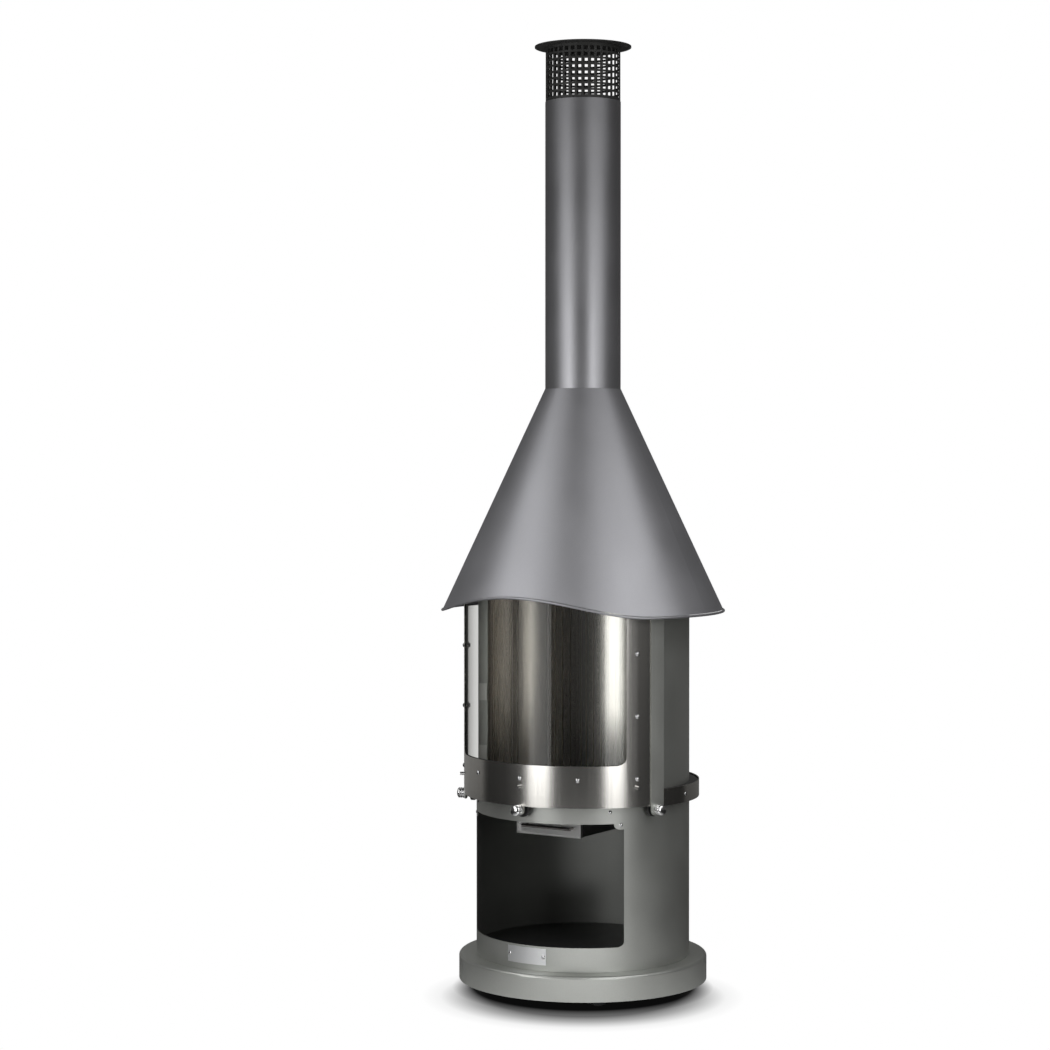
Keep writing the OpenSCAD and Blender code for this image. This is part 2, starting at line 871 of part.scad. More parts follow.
// Gasket: the dark rope between the glass and the edge of the window.
module glass_gasket() {
  inner_w = 2 * (window_half_w - gasket_lip);
  outer_w = inner_w + 2 * gasket_w;
  inner_h = shield_top - window_top_border - window_z - 2 * gasket_lip;
  // the rope stays inside the glass at both ends, and is narrower above the window
  width_share = 0.975;
  top_share = 1.6;
  color([0.08, 0.08, 0.08])
    intersection() {
      tube(shield_in - seat, gasket_t, glass_z, glass_top - glass_z);
      front_prism(0, shield_r, window_z + gasket_lip - gasket_w)
        difference() {
          rounded_plate(outer_w * width_share, inner_h + top_share * gasket_w,
                        window_corner_r + gasket_w);
          translate([0, gasket_w]) rounded_plate(inner_w, inner_h, window_corner_r);
        }
    }
}

// Glass clips: small plates behind the glass, one on each bolt.
module glass_clips() {
  clip_r = glass_in - seat;
  color([0.66, 0.66, 0.67])
    difference() {
      intersection() {
        tube(clip_r, clip_t, bolt_z - clip_l, shield_h);
        for_shield_bolts()
          front_prism(0, shield_r, -clip_w / 2) rounded_plate(clip_l, clip_w, clip_t);
      }
      for_shield_bolts()
        radial_rod(bolt_r + run * 2, clip_r - over, shield_in, 0, 0);
    }
}

module shield_posts() {
  color([0.55, 0.56, 0.54])
    for (side = [-1, 1])
      rotate([0, 0, side * post_angle])
        difference() {
          intersection() {
            tube(post_r, post_t, keeper_z - post_round, shield_top - keeper_z + post_round);
            front_prism(0, post_r + over, keeper_z - post_round)
              rounded_plate(post_w, shield_top - keeper_z + 2 * post_round, post_round);
          }
          radial_rod(pin_r + run * 2, shield_in, post_r + over, keeper_z, 0);
        }
}

module back_ring() {
  color([0.74, 0.74, 0.75])
    difference() {
      arc_wall(ring_r, ring_t, ring_z, ring_h, ring_end_angle, 360 - ring_end_angle);
      for (turn = [ring_screw_angle, 180, 360 - ring_screw_angle])
        radial_rod(screw_r + run * 2, ring_r - ring_t - over, ring_r + over,
                   ring_z + ring_h / 2, turn);
    }
}

// Ring packers: blocks between the ring's ends and the shield's edges.
module ring_packers() {
  packer_r = shield_in - seat;
  color([0.5, 0.5, 0.51])
    for (side = [-1, 1])
      rotate([0, 0, side * (post_angle - ring_overlap / 2)])
        arc_wall(packer_r, packer_r - ring_r - seat, shield_z + over, ring_h - 3 * over,
                 -packer_angle / 2, packer_angle / 2);
}

// Shield bolts: domed heads outside and nuts inside, and the ring's own screws.
module shield_bolts() {
  color([0.8, 0.8, 0.81])
    union() {
      for_shield_bolts()
        union() {
          radial_rod(bolt_r, glass_in - seat - clip_t - nut_h, shield_r + seat + bolt_head_h / 3,
                     0, 0);
          domed_head(bolt_head_r, bolt_head_h, shield_r + seat, 0, 0);
          radial_rod(nut_r, glass_in - 2 * seat - clip_t - nut_h,
                     glass_in - 2 * seat - clip_t, 0, 0);
        }
      for (turn = [ring_screw_angle, 180, 360 - ring_screw_angle])
        union() {
          radial_rod(screw_r, ring_r - ring_t - 2 * seat, ring_r + seat + screw_head_h / 3,
                     ring_z + ring_h / 2, turn);
          domed_head(screw_head_r, screw_head_h, ring_r + seat, ring_z + ring_h / 2, turn);
        }
    }
}

// Roller pins: steel pins through the band, with a head behind each roller.
module roller_pin(to_r, z, turn, collar, collar_to) {
  union() {
    radial_rod(pin_r, roller_in - seat - pin_head_h / 2, to_r, z, turn);
    radial_rod(pin_head_r, roller_in - seat - pin_head_h, roller_in - seat, z, turn);
    radial_rod(collar, roller_out + seat, collar_to, z, turn);
  }
}

module roller_pins() {
  color([0.78, 0.78, 0.79])
    for (turn = top_angles)
      roller_pin(shield_r + pin_proud, top_pin_z, turn, collar_r, shield_in - seat);
}

// A roller with rounded edges, bored to run on its pin.
module roller(r, z, turn) {
  color([0.1, 0.1, 0.1])
    rotate([0, 0, turn])
      translate([0, -roller_in, z])
        rotate([90, 0, 0])
          rotate_extrude()
            difference() {
              union() {
                square([r - roller_round, roller_w]);
                translate([0, roller_round]) square([r, roller_w - 2 * roller_round]);
                for (y = [roller_round, roller_w - roller_round])
                  translate([r - roller_round, y]) circle(r = roller_round);
              }
              translate([-over, -over]) square([over + pin_r + run, roller_w + 2 * over]);
            }
}

module top_roller_1() { roller(top_roller_r, top_pin_z, top_angles[0]); }
module top_roller_2() { roller(top_roller_r, top_pin_z, top_angles[1]); }
module top_roller_3() { roller(top_roller_r, top_pin_z, top_angles[2]); }
module keeper_roller_1() { roller(keeper_roller_r, keeper_z, keeper_angles[0]); }
module keeper_roller_2() { roller(keeper_roller_r, keeper_z, keeper_angles[1]); }
module keeper_roller_3() { roller(keeper_roller_r, keeper_z, keeper_angles[2]); }

// Shield knobs: turned stainless handles on the pins of the keeper rollers.
module knob_body(from_r, turn) {
  length = knob_end - from_r;
  rotate([0, 0, turn])
    translate([0, -from_r, keeper_z])
      rotate([90, 0, 0])
        rotate_extrude()
          union() {
            square([knob_r, length - knob_round]);
            square([knob_r - knob_round, length]);
            translate([knob_r - knob_round, length - knob_round])
              intersection() {
                circle(r = knob_round);
                square([knob_round, knob_round]);
              }
          }
}

module shield_knobs() {
  color([0.8, 0.8, 0.81]) {
    union() {
      roller_pin(knob_end - knob_l / 2, keeper_z, 0, keeper_collar_r, shield_in - seat);
      knob_body(shield_r + seat, 0);
    }
    for (side = [-1, 1])
      union() {
        roller_pin(knob_end - knob_l / 2, keeper_z, side * post_angle, keeper_collar_r,
                   shield_r);
        knob_body(post_r + seat, side * post_angle);
      }
  }
}

// Ash drawer: a folded tray hung by its lips, with a framed front plate.
module ash_tray() {
  color([0.5, 0.5, 0.5])
    difference() {
      union() {
        translate([-tray_w / 2, -drawer_front + seat, tray_z])
          cube([tray_w, tray_l, tray_h]);
        translate([-tray_w / 2 - tray_lip, -drawer_front + seat, tray_lip_z])
          cube([tray_w + 2 * tray_lip, tray_l, tray_wall]);
      }
      translate([-tray_w / 2 + tray_wall, -drawer_front + seat + tray_wall, tray_z + tray_wall])
        cube([tray_w - 2 * tray_wall, tray_l - 2 * tray_wall, tray_h + over]);
    }
}

module drawer_front_plate() {
  color([0.76, 0.76, 0.77])
    union() {
      translate([-drawer_w / 2, -drawer_front - drawer_t, drawer_z])
        cube([drawer_w, drawer_t, drawer_h]);
      translate([-drawer_w / 2, -drawer_front - frame_lip, drawer_z])
        cube([drawer_w, frame_lip, drawer_t]);
      for (x = [-drawer_w / 2, drawer_w / 2 - drawer_t])
        translate([x, -drawer_front - frame_lip, drawer_z])
          cube([drawer_t, frame_lip, drawer_h]);
    }
}

module drawer_handle() {
  post_y = drawer_front + drawer_t + seat;
  half = drawer_w / 2 - handle_inset;
  color([0.8, 0.8, 0.81])
    union() {
      translate([-half - handle_r, -post_y - handle_stand, handle_z])
        rotate([0, 90, 0]) cylinder(r = handle_r, h = 2 * (half + handle_r));
      for (x = [-half, half])
        translate([x, -post_y, handle_z])
          rotate([90, 0, 0]) cylinder(r = handle_r * 0.8, h = handle_stand);
    }
}

module drawer_bolts() {
  color([0.82, 0.82, 0.83])
    for (x = [-drawer_bolt_x, drawer_bolt_x])
      translate([x, 0, 0])
        domed_head(screw_head_r, screw_head_h, drawer_front + drawer_t + seat,
                   handle_z + handle_r + screw_head_r, 0);
}

plinth();
castor_plates();
castor_bolts();
castor_fork_1();
castor_fork_2();
castor_fork_3();
castor_fork_4();
castor_wheel_1();
castor_wheel_2();
castor_wheel_3();
castor_wheel_4();
store_shell();
log_floor();
name_plate();
plate_rivets();
shell_screws();
fire_pan();
fire_grate();
drawer_runners();
fire_shell();
fire_liner();
grill_hooks();
roller_rail();
hood();
hood_rim();
hood_brackets();
flue_spigot();
flue_pipe();
spark_arrestor();
cap_disc();
shield_frame();
shield_glass();
glass_gasket();
glass_clips();
shield_posts();
back_ring();
ring_packers();
shield_bolts();
roller_pins();
top_roller_1();
top_roller_2();
top_roller_3();
shield_knobs();
keeper_roller_1();
keeper_roller_2();
keeper_roller_3();
ash_tray();
drawer_front_plate();
drawer_handle();
drawer_bolts();
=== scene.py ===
from math import asin, atan, cos, pi, radians, sin

import bmesh
import bpy
from mathutils import Matrix, Vector


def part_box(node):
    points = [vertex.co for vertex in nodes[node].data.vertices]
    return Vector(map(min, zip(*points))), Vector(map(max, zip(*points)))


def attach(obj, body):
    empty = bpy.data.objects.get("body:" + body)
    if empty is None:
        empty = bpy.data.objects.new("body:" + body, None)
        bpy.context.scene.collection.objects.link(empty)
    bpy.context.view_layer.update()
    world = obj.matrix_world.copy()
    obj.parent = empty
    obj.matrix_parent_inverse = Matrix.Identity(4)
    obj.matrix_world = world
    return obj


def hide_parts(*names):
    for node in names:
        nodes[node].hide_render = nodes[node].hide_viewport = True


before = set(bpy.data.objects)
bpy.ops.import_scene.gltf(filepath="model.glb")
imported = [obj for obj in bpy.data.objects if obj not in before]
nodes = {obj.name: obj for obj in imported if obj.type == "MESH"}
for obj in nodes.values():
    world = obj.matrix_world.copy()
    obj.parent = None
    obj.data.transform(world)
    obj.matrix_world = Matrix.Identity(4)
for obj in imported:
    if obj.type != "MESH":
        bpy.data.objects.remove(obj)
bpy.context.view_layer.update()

# Camera: about six metres away and 1.29 m up, to the right of the front. It looks down by
# less than a degree, and a small shift keeps the uprights parallel, as in the photograph.
picture_side = 1050
focal_px = 2510
sensor_mm = 36
camera_distance = 5.992
camera_height = 1.2945
view_turn = radians(31.0)
axis_right_px = 57.9
horizon_up_px = 80
shift_px = 42
camera_data = bpy.data.cameras.new("camera")
camera_data.sensor_width = sensor_mm
camera_data.lens = focal_px / picture_side * sensor_mm
camera_data.shift_y = -shift_px / picture_side
camera = bpy.data.objects.new("camera", camera_data)
bpy.context.scene.collection.objects.link(camera)
camera.location = (
    camera_distance * sin(view_turn), -camera_distance * cos(view_turn), camera_height,
)
look_down = atan((horizon_up_px - shift_px) / focal_px)
look_left = atan(axis_right_px / focal_px)
camera.rotation_euler = (pi / 2 - look_down, 0, view_turn + look_left)
bpy.context.scene.camera = camera
bpy.context.scene.view_settings.view_transform = "Standard"


# Floor: the camera sees it as plain white with a painted shadow under the plinth. The shadow
# is drawn by distance and isn't cast. Mirroring and soft rays meet a dark floor, with a painted
# pool of light on the camera's side.
def new_material(name):
    """An empty node material, its node list and a function that links two sockets."""
    material = bpy.data.materials.new(name)
    material.use_nodes = True
    material.node_tree.nodes.clear()
    output = material.node_tree.nodes.new("ShaderNodeOutputMaterial")
    return material, material.node_tree.nodes, material.node_tree.links.new, output


def math_node(list_of_nodes, link, operation, *inputs):
    """A Math node whose inputs are numbers or sockets; gives its output."""
    node = list_of_nodes.new("ShaderNodeMath")
    node.operation = operation
    for place, value in enumerate(inputs):
        if isinstance(value, (int, float)):
            node.inputs[place].default_value = value
        else:
            link(value, node.inputs[place])
    return node.outputs["Value"]


floor_radius = 14
floor_sides = 64
floor_mesh = bmesh.new()
bmesh.ops.create_circle(floor_mesh, cap_ends=True, radius=floor_radius, segments=floor_sides)
floor_data = bpy.data.meshes.new("studio_floor")
floor_mesh.to_mesh(floor_data)
floor_mesh.free()
floor = bpy.data.objects.new("studio_floor", floor_data)
bpy.context.scene.collection.objects.link(floor)
floor_finish, floor_nodes, floor_link, floor_output = new_material("studio_floor")
floor_place = floor_nodes.new("ShaderNodeTexCoord")
floor_rays = floor_nodes.new("ShaderNodeLightPath").outputs
floor_share = math_node(
    floor_nodes, floor_link, "MAXIMUM", floor_rays["Is Camera Ray"], floor_rays["Is Transmission Ray"],
)


def floor_ramp(centre_ahead, steps):
    """A grey by the distance from a point ahead of the axis, for painted shadow and painted light; steps
    pair metres with light.
    """
    distance = floor_nodes.new("ShaderNodeVectorMath")
    distance.operation = "DISTANCE"
    distance.inputs[1].default_value = (
        centre_ahead * sin(view_turn), -centre_ahead * cos(view_turn), 0,
    )
    floor_link(floor_place.outputs["Object"], distance.inputs[0])
    ramp = floor_nodes.new("ShaderNodeValToRGB")
    while len(ramp.color_ramp.elements) < len(steps):
        ramp.color_ramp.elements.new(1.0)
    for element, (place, light) in zip(ramp.color_ramp.elements, steps):
        element.position = place
        element.color = (light, light, light, 1)
    floor_link(distance.outputs["Value"], ramp.inputs["Fac"])
    return ramp.outputs["Color"]


# Painted shadow: two ramps of distance darken the floor's white round and under the plinth.
close_painted_shadow_steps = ((0.262, 0.03), (0.278, 0.4), (0.312, 1.0))
wide_painted_shadow_ahead = 0.1
wide_painted_shadow_steps = ((0.17, 0.12), (0.225, 0.13), (0.275, 0.42), (0.335, 0.9), (0.38, 1.0))
# Painted pool of light: the floor's own grey is paler on the camera's side.
painted_pool_ahead = 0.5
painted_pool_steps = ((0.4, 1.0), (0.6, 0.6), (1.0, 0.05))
painted_floor_shadow = math_node(
    floor_nodes, floor_link, "MULTIPLY",
    floor_ramp(0, close_painted_shadow_steps), floor_ramp(wide_painted_shadow_ahead, wide_painted_shadow_steps),
)
floor_paint = floor_nodes.new("ShaderNodeBsdfDiffuse")
floor_link(floor_ramp(painted_pool_ahead, painted_pool_steps), floor_paint.inputs["Color"])
# The white that the camera sees is darkened by the painted shadow.
floor_white = floor_nodes.new("ShaderNodeEmission")
floor_link(painted_floor_shadow, floor_white.inputs["Strength"])
floor_mix = floor_nodes.new("ShaderNodeMixShader")
floor_link(floor_share, floor_mix.inputs["Fac"])
floor_link(floor_paint.outputs["BSDF"], floor_mix.inputs[1])
floor_link(floor_white.outputs["Emission"], floor_mix.inputs[2])
floor_link(floor_mix.outputs["Shader"], floor_output.inputs["Surface"])
floor_data.materials.append(floor_finish)

# World: the white backdrop that the camera sees. The screens' dome hides the world from all
# other rays, so neither its soft light nor its white for glossy rays reaches the fireplace.
world_light = 0.15
world = bpy.data.worlds.new("studio")
bpy.context.scene.world = world
world.use_nodes = True
world.node_tree.nodes.clear()
world_nodes, world_link = world.node_tree.nodes, world.node_tree.links.new
world_output = world_nodes.new("ShaderNodeOutputWorld")
world_soft = world_nodes.new("ShaderNodeBackground")
world_soft.inputs["Color"].default_value = (world_light, world_light, world_light, 1)
world_white = world_nodes.new("ShaderNodeBackground")
world_white.inputs["Color"].default_value = (1, 1, 1, 1)
world_rays = world_nodes.new("ShaderNodeLightPath").outputs
world_seen = math_node(
    world_nodes, world_link, "MAXIMUM", world_rays["Is Camera Ray"], world_rays["Is Glossy Ray"],
)
world_share = math_node(
    world_nodes, world_link, "MAXIMUM", world_seen, world_rays["Is Transmission Ray"],
)
world_mix = world_nodes.new("ShaderNodeMixShader")
world_link(world_share, world_mix.inputs["Fac"])
world_link(world_soft.outputs["Background"], world_mix.inputs[1])
world_link(world_white.outputs["Background"], world_mix.inputs[2])
world_link(world_mix.outputs["Shader"], world_output.inputs["Surface"])

# Lamps: soft boxes that face the fireplace. Left and right of the camera stand a tall one for
# the body, a small one above it and a wide one high over the hood. Another wide one stands
# behind, and a narrow strip lies near the floor in front.
level_up_to = 2
tilt_share = 0.9


def soft_box(name, turn_from_camera, distance, height, width, tall, brightness):
    """A soft box that faces the fireplace; brightness is what a mirror would show of it."""
    lamp = bpy.data.lights.new(name, "AREA")
    lamp.shape = "RECTANGLE"
    lamp.size = width
    lamp.size_y = tall
    lamp.energy = brightness * pi * width * tall
    box = bpy.data.objects.new(name, lamp)
    bpy.context.scene.collection.objects.link(box)
    turn = view_turn + radians(turn_from_camera)
    box.location = (distance * sin(turn), -distance * cos(turn), height)
    away = Vector((box.location.x, box.location.y, max(0, height - level_up_to) * tilt_share))
    box.rotation_mode = "QUATERNION"
    box.rotation_quaternion = away.to_track_quat("Z", "Y")
    box.visible_camera = False


tall_distance = 2.4
tall_height = 0.99
tall_tall = 1.6
tall_left_width = 0.9
tall_right_width = 0.75
small_distance = 2.6
small_height = 1.65
small_tall = 0.7
small_left_width = 0.9
small_right_width = 1.0
wide_distance = 3.4
wide_height = 3.9
wide_tall = 1.4
wide_left_width = 4.0
wide_right_width = 5.0
back_height = 4.0
back_width = 4.0
strip_distance = 1.05
strip_height = 0.05
strip_tall = 0.1
strip_width = 0.9
soft_box("box_left", -40, tall_distance, tall_height, tall_left_width, tall_tall, 2.9)
soft_box("box_right", 29, tall_distance, tall_height, tall_right_width, tall_tall, 3.1)
soft_box("box_mid_left", -60, small_distance, small_height, small_left_width, small_tall, 1.6)
soft_box("box_mid_right", 52, small_distance, small_height, small_right_width, small_tall, 1.4)
soft_box("box_high_left", -66, wide_distance, wide_height, wide_left_width, wide_tall, 2.5)
soft_box("box_high_right", 46, wide_distance, wide_height, wide_right_width, wide_tall, 2.6)
soft_box("box_back", 180, wide_distance, back_height, back_width, wide_tall, 0.9)
soft_box("box_low", -1, strip_distance, strip_height, strip_width, strip_tall, 2.8)


# Screens: a dark dome over everything, two paler walls at the back and a black flag that
# keeps the wide lamps off the flue. The camera looks through them, but steel and paint mirror
# them in place of the white world, and they shade it from the fireplace.
def studio_screen(name, outline, start_turn, end_turn, brightness):
    """A surface of revolution from one turn to another, which the camera doesn't see."""
    mesh = bmesh.new()
    points = [mesh.verts.new((radius, 0, height)) for radius, height in outline]
    line = [mesh.edges.new(pair) for pair in zip(points, points[1:])]
    bmesh.ops.rotate(
        mesh, verts=points, cent=(0, 0, 0),
        matrix=Matrix.Rotation(view_turn - pi / 2 + start_turn, 3, "Z"),
    )
    bmesh.ops.spin(
        mesh, geom=points + line, cent=(0, 0, 0), axis=(0, 0, 1),
        angle=end_turn - start_turn, steps=screen_steps,
    )
    data = bpy.data.meshes.new(name)
    mesh.to_mesh(data)
    mesh.free()
    screen = bpy.data.objects.new(name, data)
    bpy.context.scene.collection.objects.link(screen)
    screen.visible_camera = False
    material, nodes_in, link, output = new_material(name)
    glow = nodes_in.new("ShaderNodeEmission")
    glow.inputs["Color"].default_value = (1, 0.99, 0.97, 1)
    glow.inputs["Strength"].default_value = brightness
    link(glow.outputs["Emission"], output.inputs["Surface"])
    data.materials.append(material)


screen_steps = 48
dome_r = 7
dome_steps = 12
dome_bends = [pi / 2 * step / dome_steps for step in range(dome_steps + 1)]
dome_outline = [(dome_r * cos(bend), dome_r * sin(bend)) for bend in dome_bends]
flag_r = 2.0
flag_low = 2.85
flag_high = 3.7
flag_outline = [(flag_r, flag_low), (flag_r, flag_high)]
wall_r = 3.0
left_wall_tall = 1.0
right_wall_tall = 0.4
left_wall_outline = [(wall_r, 0), (wall_r, left_wall_tall)]
right_wall_outline = [(wall_r, 0), (wall_r, right_wall_tall)]
studio_screen("studio_dome", dome_outline, -pi, pi, 0.065)
studio_screen("studio_flag", flag_outline, radians(-125), radians(110), 0.0)
studio_screen("studio_wall_left", left_wall_outline, radians(-175), radians(-106), 0.22)
studio_screen("studio_wall_right", right_wall_outline, radians(115), radians(165), 0.12)


# Plinth: an upside-down pan of painted steel sheet with a rounded upper edge. The paint
# is a satin grey powder coat with a fine metallic fleck.
def noise_node(list_of_nodes, link, vector, scale, detail):
    """A Noise Texture on a vector; gives its grey output, from 0 to 1."""
    noise = list_of_nodes.new("ShaderNodeTexNoise")
    noise.inputs["Scale"].default_value = scale
    noise.inputs["Detail"].default_value = detail
    link(vector, noise.inputs["Vector"])
    return noise.outputs["Fac"]


def spread(list_of_nodes, link, value, low, high):
    """Maps the middle part of a noise onto a range of values."""
    ranged = list_of_nodes.new("ShaderNodeMapRange")
    ranged.inputs["From Min"].default_value = 0.3
    ranged.inputs["From Max"].default_value = 0.7
    ranged.inputs["To Min"].default_value = low
    ranged.inputs["To Max"].default_value = high
    link(value, ranged.inputs["Value"])
    return ranged.outputs["Result"]


def mixed_colour(list_of_nodes, link, share, first, second):
    """Blends two colours by a share."""
    ramp = list_of_nodes.new("ShaderNodeValToRGB")
    link(share, ramp.inputs["Fac"])
    ramp.color_ramp.elements[0].color = (*first, 1)
    ramp.color_ramp.elements[1].color = (*second, 1)
    return ramp.outputs["Color"]


def bumped(list_of_nodes, link, height, strength, distance):
    """A Bump node on a grey height; gives its normal."""
    bump = list_of_nodes.new("ShaderNodeBump")
    bump.inputs["Strength"].default_value = strength
    bump.inputs["Distance"].default_value = distance
    link(height, bump.inputs["Height"])
    return bump.outputs["Normal"]


fleck_per_m = 1500
cloud_per_m = 7
peel_per_m = 420
peel_height = 0.0004
fleck_share = 0.75
# Share of the paint's colour that is kept inside the radius: painted shade.
painted_shade_share = 0.45


def painted_sheet(name, colour, metal_share, roughness, painted_shade_r=0):
    """Satin metallic paint: fleck in the colour, orange peel, and painted shade inside a radius."""
    material, nodes_in, link, output = new_material(name)
    place = nodes_in.new("ShaderNodeTexCoord").outputs["Object"]
    fleck = noise_node(nodes_in, link, place, fleck_per_m, 1)
    cloud = noise_node(nodes_in, link, place, cloud_per_m, 3)
    peel = noise_node(nodes_in, link, place, peel_per_m, 2)
    both = math_node(
        nodes_in, link, "ADD",
        spread(nodes_in, link, fleck, 0.0, fleck_share),
        spread(nodes_in, link, cloud, 0.0, 1 - fleck_share),
    )
    shader = nodes_in.new("ShaderNodeBsdfPrincipled")
    darker = tuple(0.88 * part for part in colour)
    lighter = tuple(1.12 * part for part in colour)
    flat = nodes_in.new("ShaderNodeVectorMath")
    flat.operation = "MULTIPLY"
    flat.inputs[1].default_value = (1, 1, 0)
    link(place, flat.inputs[0])
    reach = nodes_in.new("ShaderNodeVectorMath")
    reach.operation = "LENGTH"
    link(flat.outputs["Vector"], reach.inputs[0])
    coat = nodes_in.new("ShaderNodeVectorMath")
    coat.operation = "SCALE"
    link(mixed_colour(nodes_in, link, both, darker, lighter), coat.inputs[0])
    # Darker inside the radius: painted shade, not a different coat.
    outside_painted_shade = math_node(nodes_in, link, "GREATER_THAN", reach.outputs["Value"], painted_shade_r)
    link(
        math_node(nodes_in, link, "MULTIPLY_ADD", outside_painted_shade, 1 - painted_shade_share, painted_shade_share),
        coat.inputs["Scale"],
    )
    link(coat.outputs["Vector"], shader.inputs["Base Color"])
    link(spread(nodes_in, link, cloud, roughness - 0.04, roughness + 0.04), shader.inputs["Roughness"])
    link(bumped(nodes_in, link, peel, 0.12, peel_height), shader.inputs["Normal"])
    shader.inputs["Metallic"].default_value = metal_share
    link(shader.outputs["BSDF"], output.inputs["Surface"])
    return material


def finish_nodes(material, *names):
    """Gives CAD nodes their finish, in all of their material slots."""
    for name in names:
        for place in nodes[name].material_slots:
            place.material = material


body_colour = (0.49, 0.5, 0.475)
body_metal_share = 0.82
body_roughness = 0.42
body_paint = painted_sheet("body_paint", body_colour, body_metal_share, body_roughness)
finish_nodes(body_paint, "plinth")

# Castors: pressed forks and plates, zinc plated, with black rubber wheels on black hubs.
# Each plate is held under the plinth by four bright bolts.
spangle_per_m = 160
grain_per_m = 900
grain_height = 0.0003


def plated_steel(name, colour, roughness):
    """Zinc plating or polished steel: a metal with a faint cloudy spangle."""
    material, nodes_in, link, output = new_material(name)
    place = nodes_in.new("ShaderNodeTexCoord").outputs["Object"]
    spangle = noise_node(nodes_in, link, place, spangle_per_m, 3)
    shader = nodes_in.new("ShaderNodeBsdfPrincipled")
    darker = tuple(0.8 * part for part in colour)
    link(mixed_colour(nodes_in, link, spangle, darker, colour), shader.inputs["Base Color"])
    link(spread(nodes_in, link, spangle, 0.8 * roughness, 1.2 * roughness), shader.inputs["Roughness"])
    shader.inputs["Metallic"].default_value = 1.0
    link(shader.outputs["BSDF"], output.inputs["Surface"])
    return material


def rubber(name, grey, roughness):
    """Moulded rubber, plastic or cast iron: dull, with a fine uneven surface."""
    material, nodes_in, link, output = new_material(name)
    place = nodes_in.new("ShaderNodeTexCoord").outputs["Object"]
    grain = noise_node(nodes_in, link, place, grain_per_m, 3)
    shader = nodes_in.new("ShaderNodeBsdfPrincipled")
    darker = (0.7 * grey,) * 3
    link(mixed_colour(nodes_in, link, grain, darker, (1.3 * grey,) * 3), shader.inputs["Base Color"])
    link(spread(nodes_in, link, grain, roughness - 0.08, roughness + 0.08), shader.inputs["Roughness"])
    link(bumped(nodes_in, link, grain, 0.3, grain_height), shader.inputs["Normal"])
    link(shader.outputs["BSDF"], output.inputs["Surface"])
    return material


castor_zinc = plated_steel("castor_zinc", (0.42, 0.43, 0.45), 0.35)
castor_rubber = rubber("castor_rubber", 0.03, 0.6)
bolt_steel = plated_steel("bolt_steel", (0.72, 0.72, 0.73), 0.12)
finish_nodes(castor_zinc, "castor_plates", *[f"castor_fork_{number}" for number in range(1, 5)])
finish_nodes(castor_rubber, *[f"castor_wheel_{number}" for number in range(1, 5)])
finish_nodes(bolt_steel, "castor_bolts")

# Log store: the painted shell stands on the plinth, with painted shade inside it and a black log
# floor. Outside are a small blank steel plate with its rivets, and four screws.
brush_per_m = (12, 1800, 1800)


def brushed_plate(name, dark, light, roughness):
    """Flat stainless sheet with its fine brushing along X."""
    material, nodes_in, link, output = new_material(name)
    place = nodes_in.new("ShaderNodeTexCoord").outputs["Object"]
    stretched = nodes_in.new("ShaderNodeVectorMath")
    stretched.operation = "MULTIPLY"
    stretched.inputs[1].default_value = brush_per_m
    link(place, stretched.inputs[0])
    grain = noise_node(nodes_in, link, stretched.outputs["Vector"], 1.0, 2)
    shader = nodes_in.new("ShaderNodeBsdfPrincipled")
    link(mixed_colour(nodes_in, link, grain, dark, light), shader.inputs["Base Color"])
    link(spread(nodes_in, link, grain, roughness - 0.03, roughness + 0.03), shader.inputs["Roughness"])
    shader.inputs["Metallic"].default_value = 1.0
    link(shader.outputs["BSDF"], output.inputs["Surface"])
    return material


store_low, store_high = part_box("store_shell")
store_sheet = 0.001
# The store's paint is darker inside its sheet: painted shade.
store_painted_shade_r = store_high.x - store_sheet
store_paint = painted_sheet(
    "store_paint", body_colour, body_metal_share, body_roughness, store_painted_shade_r,
)
inner_paint = painted_sheet("inner_paint", (0.02, 0.02, 0.02), 0.0, 0.5)
plate_steel = brushed_plate("plate_steel", (0.88, 0.89, 0.9), (0.96, 0.97, 0.98), 0.38)
finish_nodes(store_paint, "store_shell")
finish_nodes(inner_paint, "log_floor")
finish_nodes(plate_steel, "name_plate")
finish_nodes(bolt_steel, "plate_rivets", "shell_screws")

# Fire chamber: a black pan on the store, a cast grate over the ash hole, the painted
# shell round the back, and a bright stainless liner inside it with hooks for a grill.
lines_per_m = 2200.0
line_ends_per_radian = 1.2
streaks_per_radian = 38.0


